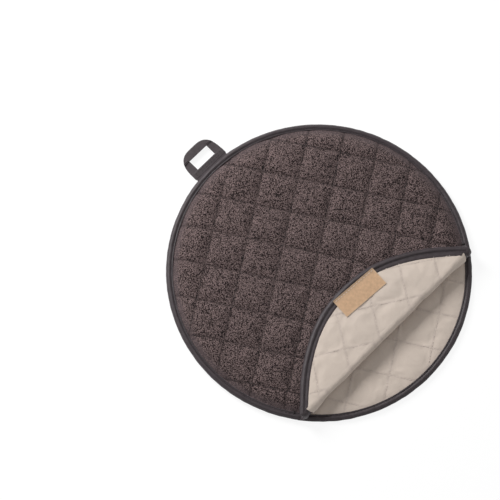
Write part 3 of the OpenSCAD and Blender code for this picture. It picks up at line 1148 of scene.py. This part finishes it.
class WARMER_OT_quilting(bpy.types.Operator):
    """Sew the crossing quilting lines through each disc"""

    bl_idname = "warmer.quilting"
    bl_label = "Quilting"

    def execute(self, context):
        p = plan()
        shape = one_stitch(p)
        parts = (
            ("bottom", p.bottom, "all", "pouch"),
            ("top", p.top, "behind", "pouch"),
            ("flap", p.flap, "before", "flap"),
        )
        for name, disc, keep, body in parts:
            for side, material, lift in (
                ("terry", "thread", 0.0001), ("lining", "pale_thread", 0.0002)
            ):
                up = way_up(disc, side)
                places = []
                for x, y, along in self.along_lines(disc.shifts, keep, p):
                    point = np.array([x, y, height_at(disc, side, x, y, p) + up * lift])
                    place = (point, np.array([*along, 0.0]), np.array([0, 0, float(up)]))
                    if body == "flap":
                        place = on_flap(*place, p)
                    if disc is p.bottom and side == "terry":
                        point[2] = max(point[2], 0.0004)
                    places.append(place)
                obj = sewn(name + "_quilt_stitches_" + side, places, shape)
                finish_piece(obj, body, material, name + "_quilting")
        return {"FINISHED"}

    def along_lines(self, shifts, keep, p):
        """Places and directions of the stitches of one disc, line by line."""
        reach = p.slot_r - 0.001
        off_fold = 0.002
        for turned, shift in enumerate(shifts):
            a = p.quilt_angle + turned * math.pi / 2
            cos_a, sin_a = math.cos(a), math.sin(a)
            first = math.ceil((-reach - shift) / p.quilt_pitch)
            last = math.floor((reach - shift) / p.quilt_pitch)
            for line in range(first, last + 1):
                off = shift + line * p.quilt_pitch
                half = math.sqrt(reach**2 - off**2)
                for i in range(int(-half / p.stitch_step), int(half / p.stitch_step) + 1):
                    t = (i + 0.5) * p.stitch_step
                    if abs(t) > half:
                        continue
                    x, y = t * cos_a - off * sin_a, t * sin_a + off * cos_a
                    before = y < -p.fold_y - off_fold
                    behind = y > -p.fold_y + off_fold
                    if keep == "all" or (before if keep == "before" else behind):
                        yield x, y, (cos_a, sin_a)


class WARMER_OT_corner_tacks(bpy.types.Operator):
    """Sew a bar tack across the binding at each end of the mouth"""

    bl_idname = "warmer.corner_tacks"
    bl_label = "Corner tacks"

    def execute(self, context):
        p = plan()
        co, faces = one_stitch(p)
        a = math.asin(p.fold_y / p.pouch_r) - math.radians(1.5)
        count, step = 11, 0.00042
        places = []
        for side in (1, -1):
            radial = np.array([side * math.cos(a), -math.sin(a), 0])
            tangent = np.array([side * math.sin(a), math.cos(a), 0])
            for i in range(count):
                point = radial * (p.slot_r + 0.0004 + step * i) + tangent * 0.0009
                crown = math.sin(i / (count - 1) * math.pi)
                point[2] = p.rim_top_z + 0.0001 + 0.00025 * crown
                zigzag = 0.12 if i % 2 else -0.12
                places.append((point, tangent + radial * zigzag, (0, 0, 1)))
        obj = sewn("bar_tacks", places, (co * np.array([0.75, 0.8, 0.8]), faces))
        finish_piece(obj, "pouch", "thread", "corner_tacks")
        return {"FINISHED"}


# ---- Loop and tag ----


def soften(obj, width):
    """Rounds the sharp edges of a piece of tape."""
    modify(
        obj, "BEVEL", width=width, segments=2, limit_method="ANGLE",
        angle_limit=math.radians(50),
    )


def cloth_patch(corners, cells, thickness, low_z, seed, wobble):
    """A flat piece of tape between four corners, with thickness and softened edges."""
    obj, s, t = flat_grid("patch", *cells)
    s, t = s[:, None], t[:, None]
    a, b, c, d = (np.array(corner) for corner in corners)
    flat = a * (1 - s) * (1 - t) + b * s * (1 - t) + c * s * t + d * (1 - s) * t
    co = np.concatenate([flat, np.full((len(flat), 1), low_z + thickness / 2)], axis=1)
    co[:, 2] += ripple(co, 0.012, seed, wobble)
    set_points(obj, co)
    modify(obj, "SOLIDIFY", thickness=thickness, offset=0)
    soften(obj, thickness * 0.3)
    outward(obj)
    return obj


def rounded_bend(first, second, radius, z):
    """A bend of tape between two points."""
    start_fresh()
    first, second = np.array(first), np.array(second)
    middle, run = (first + second) / 2, second - first
    bpy.ops.mesh.primitive_cylinder_add(
        vertices=20, radius=radius, depth=float(np.linalg.norm(run)), location=(*middle, z),
        rotation=(math.pi / 2, 0, math.atan2(run[1], run[0]) + math.pi / 2),
    )
    obj = placed("bend")
    soften(obj, radius * 0.35)
    return obj


def joined(name, objects):
    select_only(objects[0])
    for obj in objects[1:]:
        obj.select_set(True)
    bpy.ops.object.join()
    objects[0].name = name
    return objects[0]


class WARMER_OT_hanging_loop(bpy.types.Operator):
    """Fold the hanging loop from flat tape and sew it at the rim"""

    bl_idname = "warmer.hanging_loop"
    bl_label = "Hanging loop"

    def execute(self, context):
        p = plan()
        hinge_y = p.pouch_r + LOOSE + p.loop_t
        end_y = hinge_y + p.loop_reach
        far_y, base_y = end_y - p.loop_tape_w, hinge_y + p.loop_base_w
        half, z = p.loop_w / 2, p.seam_z
        inner = half - p.loop_tape_w
        parts = []
        for side in (-1, 1):
            far_corner, end_corner = (side * half, far_y), (side * inner, end_y)
            strap = [(side * inner, hinge_y), (side * half, hinge_y), far_corner, end_corner]
            parts.append(cloth_patch(strap, (8, 24), p.loop_t, z - p.loop_t, 50 + side, 0.0002))
            parts.append(rounded_bend(far_corner, end_corner, p.loop_t * 0.98, z))
        far = [(-half, far_y), (half, far_y), (inner, end_y), (-inner, end_y)]
        base = [(-half, hinge_y), (half, hinge_y), (half, base_y), (-half, base_y)]
        parts.append(cloth_patch(far, (34, 8), p.loop_t, z, 54, 0.0002))
        parts.append(cloth_patch(base, (34, 6), p.loop_t, z, 56, 0.0001))
        parts.append(rounded_bend((-half, hinge_y), (half, hinge_y), p.loop_t * 1.02, z))
        finish_piece(self.neck(hinge_y, half, z, p), "pouch", "tape")
        obj = joined("loop_tape", parts)
        # worn round at its far corners
        worn = 3.2
        co = points_of(obj)
        u, v = co[:, 0] / half, (co[:, 1] - hinge_y) / p.loop_reach
        out = np.maximum(1, (np.abs(u) ** worn + np.clip(v, 0, None) ** worn) ** (1 / worn))
        co[:, 0] = u / out * half
        co[:, 1] = np.where(v > 0, v / out, v) * p.loop_reach + hinge_y
        set_points(obj, co)
        smooth(obj, 40)
        finish_piece(obj, "loop", "tape", "hanging_loop")
        thread_z = z + p.loop_t + 0.0001
        places = []
        for row in (1, 2):
            y = hinge_y + row * p.loop_base_w / 3
            count = int((p.loop_w - 0.003) / p.stitch_step)
            for i in range(count):
                x = (i - (count - 1) / 2) * p.stitch_step
                places.append(((x, y, thread_z), (1, 0, 0), (0, 0, 1)))
        for side in (-1, 1):
            for i in range(4):
                t = (i + 0.5) / 4
                x = side * (half - 0.0025 - t * (p.loop_tape_w - 0.003))
                point = (x, far_y + 0.0012 + t * 0.0003, thread_z)
                places.append((point, (side, 0, 0), (0, 0, 1)))
        obj = sewn("loop_thread", places, one_stitch(p))
        finish_piece(obj, "loop", "thread", "loop_stitches")
        return {"FINISHED"}

    def neck(self, hinge_y, half, z, p):
        """The ends of the loop's tape, where they come out of the binding."""
        obj, s, t = flat_grid("loop_neck", 40, 6)
        x = (s - 0.5) * 2 * (half - 0.0006)
        rim_y = np.sqrt((p.pouch_r - 0.0015) ** 2 - x**2)
        co = np.stack([x, rim_y * (1 - t) + hinge_y * t, np.full(len(x), z)], axis=1)
        co[:, 2] += ripple(co, 0.008, 58, 0.0002) * (1 - t)
        set_points(obj, co)
        modify(obj, "SOLIDIFY", thickness=p.loop_t * 1.3, offset=0)
        outward(obj)
        smooth(obj, 50)
        return obj


class WARMER_OT_care_tag(bpy.types.Operator):
    """Lay the blank care tag on the flap and sew its long edge"""

    bl_idname = "warmer.care_tag"
    bl_label = "Care tag"

    def execute(self, context):
        p = plan()
        low_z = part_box("care_tag")[0][2]
        thickness = 0.00045
        cos_t, sin_t = math.cos(p.tag_turn), math.sin(p.tag_turn)
        seam_y = p.slot_r - 2 * p.fold_y + p.tag_lap

        def on_seam(x, y):
            """A point of the flat tag, with its seam along X, turned to its place."""
            return p.tag_x + x * cos_t - y * sin_t, seam_y + x * sin_t + y * cos_t

        obj, s, t = flat_grid("satin_tag", 60, 24)
        t = 1 - t  # away from the seam
        x, y = (s - 0.5) * p.tag_l, -t * p.tag_w
        ribbon = obj.data.uv_layers.new(name="ribbon")
        index = np.empty(len(obj.data.loops), int)
        obj.data.loops.foreach_get("vertex_index", index)
        ribbon.data.foreach_set("uv", np.stack([x[index], y[index]], axis=1).ravel())
        sides = [s * p.tag_l, (1 - s) * p.tag_l, t * p.tag_w, (1 - t) * p.tag_w]
        # painted highlight along the cut edges
        put_attribute(obj, "edge_highlight", np.exp(-((np.minimum.reduce(sides) / 0.0007) ** 2)))
        # painted shadow of the binding's ridge along the tag's sewn edge
        put_attribute(obj, "seam_shadow", np.exp(-((t * p.tag_w / 0.0038) ** 2)))
        # the free edge lies on the cloth, and its corners lift a little
        corner = np.abs(2 * s - 1) ** 4
        z = low_z + thickness / 2 + 0.0003 * t**2 * (1.2 * corner - 1)
        z -= 0.0006 * np.exp(-((t * p.tag_w / 0.0035) ** 2))
        z += ripple(np.stack([x, y, np.zeros(len(x))], axis=1), 0.014, 61, 0.00025) * t
        set_points(obj, np.stack([*on_seam(x, y), z], axis=1))
        modify(obj, "SOLIDIFY", thickness=thickness, offset=0)
        outward(obj)
        smooth(obj, 50)
        finish_piece(obj, "flap", "tag", "care_tag")
        count = int((p.tag_l - 0.0024) / p.stitch_step)
        thread_z = low_z + thickness - 0.0003
        places = []
        for i in range(count):
            place = (*on_seam((i - (count - 1) / 2) * p.stitch_step, -0.0022), thread_z)
            places.append((place, (cos_t, sin_t, 0), (0, 0, 1)))
        tag, obj = obj, sewn("tag_thread", places, one_stitch(p))
        finish_piece(obj, "flap", "pale_thread", "tag_stitches")
        return {"FINISHED"}


# ---- Studio ----


class WARMER_OT_studio(bpy.types.Operator):
    """Set the floor, the soft lights and the camera"""

    bl_idname = "warmer.studio"
    bl_label = "Studio"

    def execute(self, context):
        scene = context.scene
        start_fresh()
        bpy.ops.mesh.primitive_plane_add(size=8, location=(0, 0, -0.0002))
        floor = placed("studio_floor")
        floor.data.materials.append(materials["floor"])
        self.lamp("key", (-0.09, 1.00, 0.78), 0.5, 15.5)
        self.lamp("fill", (1.1, -1.1, 1.6), 1.6, 5)
        world = bpy.data.worlds.new("studio")
        scene.world = world
        world.use_nodes = True
        tree = world.node_tree
        tree.nodes.clear()
        seen = add(tree, "LightPath").outputs["Is Camera Ray"]
        soft = add(tree, "Background", {"Color": (1, 1, 1, 1), "Strength": 0.34})
        white = add(tree, "Background", {"Color": (1, 1, 1, 1), "Strength": 1.0})
        light = add(tree, "MixShader", {0: seen, 1: soft, 2: white})
        add(tree, "OutputWorld", {"Surface": light})
        self.camera(scene)
        scene.view_settings.view_transform = "Standard"
        return {"FINISHED"}

    def lamp(self, name, place, size, power):
        data = bpy.data.lights.new(name, "AREA")
        data.size = size
        data.energy = power
        obj = bpy.data.objects.new(name, data)
        bpy.context.scene.collection.objects.link(obj)
        obj.location = place
        obj.rotation_euler = (-Vector(place)).to_track_quat("-Z", "Y").to_euler()

    def camera(self, scene):
        turn, lift = math.radians(-45), math.radians(75.4)
        distance, seen_w, sensor_w = 1.9, 0.4985, 36
        aim = Vector((-0.0348, 0.0625, 0.008))
        away = Vector(
            (math.sin(turn) * math.cos(lift), -math.cos(turn) * math.cos(lift), math.sin(lift))
        )
        data = bpy.data.cameras.new("photo_camera")
        data.sensor_width = sensor_w
        data.lens = sensor_w * distance / seen_w
        camera = bpy.data.objects.new("photo_camera", data)
        scene.collection.objects.link(camera)
        camera.location = aim + away * distance
        camera.rotation_euler = (-away).to_track_quat("-Z", "Y").to_euler()
        scene.camera = camera


PIECES = (
    WARMER_OT_materials,
    WARMER_OT_bottom_disc,
    WARMER_OT_top_disc,
    WARMER_OT_flap,
    WARMER_OT_fold,
    WARMER_OT_bindings,
    WARMER_OT_seam_stitches,
    WARMER_OT_quilting,
    WARMER_OT_corner_tacks,
    WARMER_OT_hanging_loop,
    WARMER_OT_care_tag,
    WARMER_OT_studio,
)


class WARMER_PT_panel(bpy.types.Panel):
    bl_idname = "WARMER_PT_panel"
    bl_label = "Quilted Tortilla Warmer"
    bl_space_type = "VIEW_3D"
    bl_region_type = "UI"
    bl_category = "Warmer"

    def draw(self, context):
        for group in (context.scene.warmer_sizes, context.scene.warmer_colours):
            box = self.layout.box()
            for key in type(group).__annotations__:
                box.prop(group, key)
        for piece in PIECES:
            self.layout.operator(piece.bl_idname)


CLASSES = (WarmerSizes, WarmerColours) + PIECES + (WARMER_PT_panel,)


def register():
    for cls in CLASSES:
        bpy.utils.register_class(cls)
    bpy.types.Scene.warmer_sizes = PointerProperty(type=WarmerSizes)
    bpy.types.Scene.warmer_colours = PointerProperty(type=WarmerColours)


def unregister():
    del bpy.types.Scene.warmer_colours
    del bpy.types.Scene.warmer_sizes
    for cls in reversed(CLASSES):
        bpy.utils.unregister_class(cls)


def main():
    register()
    for piece in PIECES:
        group, name = piece.bl_idname.split(".")
        getattr(getattr(bpy.ops, group), name)()


if __name__ == "__main__":
    main()
